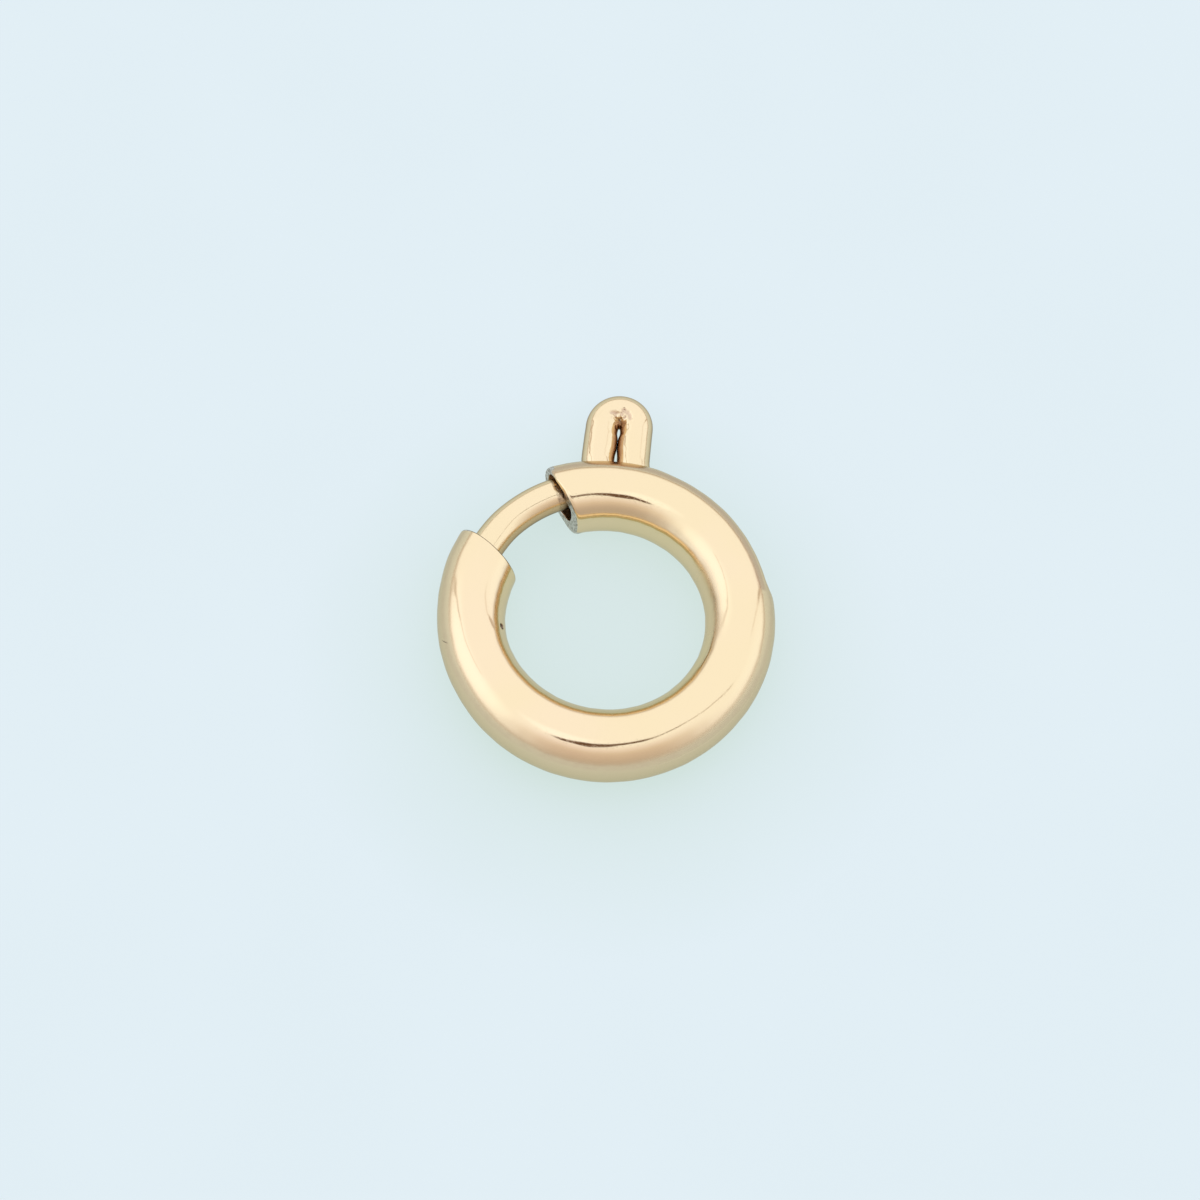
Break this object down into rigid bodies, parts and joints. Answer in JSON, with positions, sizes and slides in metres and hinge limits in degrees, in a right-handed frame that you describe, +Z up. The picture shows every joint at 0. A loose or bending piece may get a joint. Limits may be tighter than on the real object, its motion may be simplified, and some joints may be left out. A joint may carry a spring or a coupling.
{
  "type": "spring ring clasp",
  "caption": "Round spring ring clasp: a bent metal tube with a gap that a sliding wire gate closes, pulled open by a hairpin thumb lever in a slot.",
  "frame": {"origin": "on the ring's axis, in the mid-plane of its tube", "axes": "+Z up along the ring's axis, out of its open middle; +Y from the ring's centre along the closed thumb lever; +X to the right with the lever pointing away"},
  "size_m": [0.006, 0.0073, 0.0014],
  "materials": {
    "ring_metal": "mirror polished, rose gold coloured",
    "gate_metal": "mirror polished, rose gold coloured",
    "spring_metal": "drawn spring wire"
  },
  "bodies": {
    "ring": {"ring_tube": "ring_metal", "return_spring": "spring_metal"},
    "gate": {"gate_wire": "gate_metal"}
  },
  "joints": [
    {"name": "gate_slide", "type": "hinge", "parent": "ring", "child": "gate", "pos_m": [0, 0, 0], "axis": [0, 0, -1], "range_deg": [0, 64], "stiffness_Nm_per_rad": 0.002, "springref_deg": -17.19, "deforming": ["return_spring"]}
  ]
}
